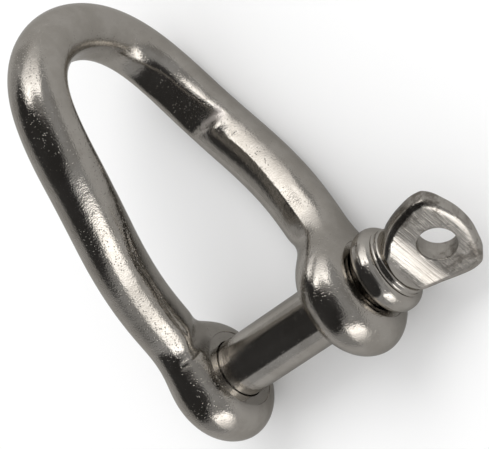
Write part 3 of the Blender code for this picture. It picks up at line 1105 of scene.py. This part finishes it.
@dataclass(frozen=True)
class SteelFinish:
    """One finish of polished stainless steel: sizes are counts in a metre, depths are in metres."""

    name: str
    light: Triple
    dark: Triple
    stained: Triple = (0.15, 0.13, 0.11)
    stain: float = 0.0
    ground_lines: float = 0.0
    edge: Triple = (0.86, 0.85, 0.83)
    roughness: float = 0.045
    grit: float = 0.12
    grit_size: float = 7000.0
    peel_size: float = 4500.0
    peel_depth: float = 0.012 * MM
    wave_size: float = 480.0
    wave_depth: float = 0.055 * MM
    lay_depth: float = 0.0
    pit_depth: float = 0.0
    ground_from: float = 1.0
    ground_roughness: float = 0.0

    def material(self, grain: Grain) -> Material:
        """Build the material.

        Args:
            grain: The shared surface detail.

        Returns:
            The material.
        """
        material = bpy.data.materials.new(self.name)
        material.use_nodes = True
        tree = material.node_tree
        values = {label(field): getattr(self, field) for field in grain.AMOUNTS}
        values |= {label(field): (*getattr(self, field), 1) for field in grain.SHADES}
        values[label(SCAR_NAME)] = add_node(tree, "Attribute", {}, attribute_name=SCAR_NAME).outputs["Fac"]
        detail = add_node(tree, "Group", values, node_tree=grain.tree).outputs
        bump = add_node(tree, "Bump", {"Height": detail["Height"], "Distance": 1.0})
        feed(tree.nodes["Principled BSDF"], {
            "Metallic": 1.0, "Specular Tint": (*self.edge, 1), "Base Color": detail["Color"],
            "Roughness": detail["Roughness"], "Normal": bump.outputs["Normal"],
        })
        return material


BARREL_POLISHED = SteelFinish(
    "barrel polished steel", (0.50, 0.475, 0.44), (0.43, 0.405, 0.37), peel_depth=0.026 * MM, pit_depth=0.029 * MM,
)
GROUND = SteelFinish(
    "turned and ground steel", (0.54, 0.515, 0.48), (0.46, 0.435, 0.40), stain=0.75, ground_lines=0.6,
    roughness=0.07, grit=0.10, peel_depth=0.006 * MM, wave_size=300.0, wave_depth=0.03 * MM,
    lay_depth=0.034 * MM, pit_depth=0.016 * MM, ground_from=13.0 * MM, ground_roughness=0.09,
)


def dressed(bm: BMesh, name: str, material: Material) -> bpy.types.Object:
    """Turn a bmesh into an object with one material.

    Args:
        bm: The bmesh.
        name: The object's name.
        material: Its material.

    Returns:
        The object.
    """
    mesh = mesh_of(bm, name)
    mesh.materials.append(material)
    return new_object(name, mesh)


def studio_material(name: str, kind: str, inputs: dict[str | int, Value]) -> Material:
    """Make a material of one plain shader that isn't sampled as a lamp.

    Args:
        name: The material's name.
        kind: The shader's type.
        inputs: Its values.

    Returns:
        The material.
    """
    material = bpy.data.materials.new(name)
    material.use_nodes = True
    material.cycles.emission_sampling = "NONE"
    nodes = material.node_tree.nodes
    nodes.remove(nodes["Principled BSDF"])
    shader = add_node(material.node_tree, kind, inputs, name=STUDIO_SHADER)
    feed(nodes["Material Output"], {"Surface": shader.outputs[0]})
    return material


def show_to_steel_only(thing: bpy.types.Object) -> None:
    """Keep a piece of studio equipment out of the picture and its light off the floor.

    Args:
        thing: The piece of equipment.
    """
    thing.visible_camera = False
    thing.visible_shadow = False
    thing.visible_diffuse = False


@dataclass(frozen=True)
class Panel:
    """A soft-edged studio panel that only the steel reflects: a dark card or a lit diffuser.

    The bearing is counted from +Y to +X, and all angles are in degrees as seen from the shackle.
    The outline is a rounded rectangle: a higher squareness sharpens its corners, the edge is its
    steepness, and it has half its cover at the outline. The lean tilts its level across and up.
    """

    name: str
    bearing: float
    climb: float
    half_width: float
    half_height: float
    roll: float
    level: float
    distance: float
    edge: float = 4.0
    lean: Pair = (0.0, 0.0)
    margin: float = 1.25
    squareness: float = 4.0
    outline: float = 0.8
    shade: Triple = (1.0, 0.985, 0.965)
    segments: int = 20

    def material(self) -> Material:
        """Build the panel's glow, which turns clear at its edges.

        Returns:
            The material.
        """
        material = studio_material(self.name, "MixShader", {})
        tree = material.node_tree
        calc = partial(math_node, tree)
        place = add_node(tree, "SeparateXYZ", {"Vector": add_node(tree, "TexCoord", {}).outputs["UV"]}).outputs
        sides = [calc("MULTIPLY", calc("SUBTRACT", place[axis], 0.5), 2 * self.margin) for axis in ("X", "Y")]
        bulge = calc("ADD", *(calc("POWER", calc("ABSOLUTE", side), self.squareness) for side in sides))
        rise = calc("EXPONENT", calc("MULTIPLY", calc("SUBTRACT", bulge, self.outline), self.edge))
        fall = calc("EXPONENT", calc("ADD", *(calc("MULTIPLY", side, lean) for side, lean in zip(sides, self.lean))))
        glow = {"Color": (*self.shade, 1), "Strength": calc("MULTIPLY", fall, self.level)}
        feed(tree.nodes[STUDIO_SHADER], {
            "Fac": calc("DIVIDE", 1.0, calc("ADD", rise, 1.0)),
            1: add_node(tree, "BsdfTransparent", {}).outputs["BSDF"],
            2: add_node(tree, "Emission", glow).outputs["Emission"],
        })
        return material

    def build(self) -> None:
        """Hang the panel round the shackle, bent to one distance."""
        bm = bmesh.new()
        bmesh.ops.create_grid(bm, x_segments=self.segments, y_segments=self.segments, size=1.0)
        layer = bm.loops.layers.uv.new("UVMap")
        for face in bm.faces:
            for loop in face.loops:
                loop[layer].uv = (loop.vert.co.x / 2 + 0.5, loop.vert.co.y / 2 + 0.5)
        wide = self.margin * math.tan(math.radians(self.half_width))
        high = self.margin * math.tan(math.radians(self.half_height))
        for vert in bm.verts:
            vert.co = Vector((vert.co.x * wide, vert.co.y * high, 1.0)).normalized() * self.distance
        bearing, climb = math.radians(self.bearing), math.radians(self.climb)
        way = Vector((math.sin(bearing) * math.cos(climb), math.cos(bearing) * math.cos(climb), math.sin(climb)))
        right = Vector((math.cos(bearing), -math.sin(bearing), 0.0))
        turn = Matrix((right, way.cross(right), way)).transposed()
        bmesh.ops.rotate(bm, verts=bm.verts[:], cent=(0, 0, 0),
                         matrix=turn @ Matrix.Rotation(math.radians(self.roll), 3, "Z"))
        show_to_steel_only(dressed(bm, self.name, self.material()))


@dataclass(frozen=True)
class Studio:
    """A plain pale floor, a plain world, a soft lamp, a grey tent with panels, and the camera."""

    floor_shade: float = 0.92
    floor_roughness: float = 0.9
    floor_reach: float = 3.0
    world_level: float = 0.93
    lamp_power: float = 2.0
    lamp_size: float = 0.5
    lamp_way: Triple = (0.25, 0.55, 0.8)
    lamp_distance: float = 0.8
    film_shade: Triple = (0.50, 0.495, 0.485)
    film_height: float = 0.02 * MM
    tent_level: float = 0.38
    tent_radius: float = 2.8
    tent_fineness: int = 4
    camera_place: Triple = (113.366 * MM, -49.520 * MM, 194.392 * MM)
    camera_rows: tuple[Triple, ...] = (
        (0.69118, -0.47971, -0.54063), (0.49058, 0.86062, -0.13644), (0.53073, -0.17087, 0.83015),
    )
    sensor_width: float = 36.0
    lens: float = 127.893
    shift: Pair = (-0.02865, 0.08155)
    clip: Pair = (0.01, 10.0)
    panels: tuple[Panel, ...] = (
        Panel("dark_canopy", -54.8, 63.3, 64.5, 59.4, 22.3, 0.05, 2.4, 14.0, (0.35, 0.35)),
        Panel("crown_softbox", 14.7, 27.6, 33.1, 30.7, 16.1, 1.35, 2.3, 14.0, (0.0, -1.0)),
        Panel("shoulder_card", 64.7, 61.5, 26.1, 14.7, -17.7, 0.30, 2.2),
        Panel("front_softbox", 166.1, 13.7, 24.7, 19.0, -33.2, 1.8, 2.1, 14.0, (0.0, -0.8)),
        Panel("right_low_card", 98.7, -5.9, 28.5, 19.4, 49.1, 0.31, 2.0),
        Panel("side_wall", -57.6, 2.2, 61.7, 34.0, -2.9, 0.40, 1.9),
        Panel("left_card", -50.9, 43.6, 31.4, 19.3, 2.9, 0.04, 1.8),
        Panel("top_card", 125.9, 78.7, 24.7, 34.5, 13.7, 0.04, 1.7),
    )

    def sheet(self, name: str, height: float, material: Material) -> bpy.types.Object:
        """Lay a level sheet under the shackle.

        Args:
            name: The sheet's name.
            height: Its height over the floor.
            material: Its material.

        Returns:
            The sheet.
        """
        bm = bmesh.new()
        bmesh.ops.create_grid(bm, x_segments=1, y_segments=1, size=self.floor_reach)
        bmesh.ops.translate(bm, verts=bm.verts[:], vec=(0, 0, height))
        return dressed(bm, name, material)

    def floor(self) -> None:
        """Lay the floor that the shackle lies on."""
        material = bpy.data.materials.new("pale floor")
        material.use_nodes = True
        feed(material.node_tree.nodes["Principled BSDF"], {
            "Base Color": (self.floor_shade, self.floor_shade, self.floor_shade, 1),
            "Roughness": self.floor_roughness, "Specular IOR Level": 0.0,
        })
        self.sheet("floor", 0.0, material)

    def film(self) -> None:
        """Lay a grey film on the floor, through which the steel alone sees it."""
        material = studio_material("grey film", "BsdfTransparent", {"Color": (*self.film_shade, 1)})
        show_to_steel_only(self.sheet("grey_film", self.film_height, material))

    def world(self) -> None:
        """Fill the surroundings with one pale level."""
        world = bpy.data.worlds.new("studio")
        world.use_nodes = True
        feed(world.node_tree.nodes["Background"], {"Color": (1, 1, 1, 1), "Strength": self.world_level})
        world.cycles_visibility.glossy = False
        bpy.context.scene.world = world

    def tent(self) -> None:
        """Put the grey tent round the set, which the steel reflects where there is no panel."""
        bm = bmesh.new()
        bmesh.ops.create_icosphere(bm, subdivisions=self.tent_fineness, radius=self.tent_radius)
        bmesh.ops.reverse_faces(bm, faces=bm.faces[:])
        material = studio_material("grey tent", "Emission", {"Strength": self.tent_level})
        show_to_steel_only(dressed(bm, "grey_tent", material))

    def lamp(self) -> None:
        """Hang the soft lamp that gives the shadow."""
        lamp = bpy.data.lights.new("soft_lamp", "AREA")
        lamp.shape = "DISK"
        lamp.size = self.lamp_size
        lamp.energy = self.lamp_power
        holder = new_object("soft_lamp", lamp)
        way = Vector(self.lamp_way).normalized()
        turn = way.to_track_quat("Z", "Y").to_matrix().to_4x4()
        holder.matrix_world = Matrix.Translation(way * self.lamp_distance) @ turn
        holder.visible_glossy = False

    def camera(self) -> None:
        """Set the camera at the photograph's angle."""
        camera = bpy.data.cameras.new("camera")
        camera.sensor_fit = "HORIZONTAL"
        camera.sensor_width = self.sensor_width
        camera.lens = self.lens
        camera.shift_x, camera.shift_y = self.shift
        camera.clip_start, camera.clip_end = self.clip
        holder = new_object("camera", camera)
        rows = Matrix([Vector(row).normalized() for row in self.camera_rows])
        holder.matrix_world = Matrix.Translation(self.camera_place) @ rows.transposed().to_4x4()
        bpy.context.scene.camera = holder

    def build(self) -> None:
        """Set the whole studio up."""
        self.floor()
        self.film()
        self.world()
        self.tent()
        self.lamp()
        for panel in self.panels:
            panel.build()
        self.camera()
        bpy.context.scene.view_settings.view_transform = "Standard"


def place_piece(mesh: Mesh, name: str, lie: Lie, finish: Material, node: str, body: Body) -> bpy.types.Object:
    """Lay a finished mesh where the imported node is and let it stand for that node.

    Args:
        mesh: The mesh in the shackle's own frame.
        name: The piece's name.
        lie: The shackle's place.
        finish: The piece's material.
        node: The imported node.
        body: The body that it moves with.

    Returns:
        The piece.
    """
    mesh.transform(lie.matrix)
    mesh.materials.clear()
    mesh.materials.append(finish)
    piece = new_object(name, mesh)
    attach(piece, body.value)
    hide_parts(node)
    LOG.info("%s: %d points, %d faces", name, len(mesh.vertices), len(mesh.polygons))
    return piece


def main() -> None:
    """Build the shackle and its studio."""
    logging.basicConfig(level=logging.INFO, format="%(name)s: %(message)s")
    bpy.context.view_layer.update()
    bow, pin = ForgedBow(), ScrewPin()
    lie = Lie.of_packed(bow)
    grain = Grain(bow.resting_pitch() + math.radians(pin.tab_turn))
    Studio().build()
    place_piece(bow.build(), "forged_bow", lie, BARREL_POLISHED.material(grain), "bow", Body.BOW)
    place_piece(pin.build(), "threaded_pin", lie, GROUND.material(grain), "screw_pin", Body.PIN)


if __name__ == "__main__":
    main()
